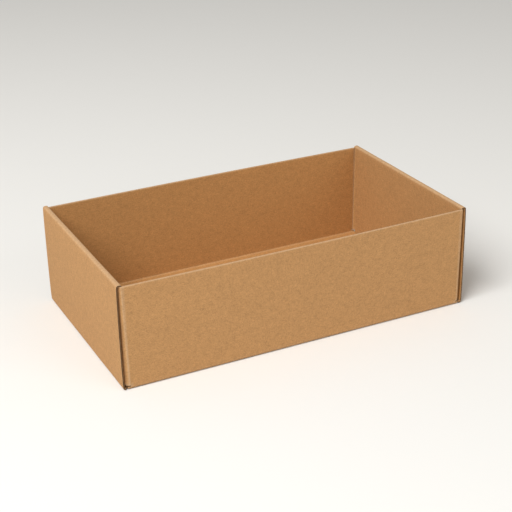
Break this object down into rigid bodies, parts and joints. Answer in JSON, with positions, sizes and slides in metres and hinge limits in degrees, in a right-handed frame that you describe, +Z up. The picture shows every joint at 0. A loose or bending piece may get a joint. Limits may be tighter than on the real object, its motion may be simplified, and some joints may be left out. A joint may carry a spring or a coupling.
{
  "type": "cardboard tray box",
  "caption": "Open-topped rectangular tray folded from one corrugated sheet, with rolled double end walls locked by tabs in the base.",
  "frame": {"origin": "centre of the underside, on the surface the tray stands on", "axes": "+X along the length, from the left end wall to the right one; +Y from the front wall to the back wall; +Z up"},
  "size_m": [0.3, 0.17, 0.086],
  "materials": {
    "board": "matt brown kraft liner"
  },
  "bodies": {
    "root": {"tray": "board"}
  },
  "joints": []
}
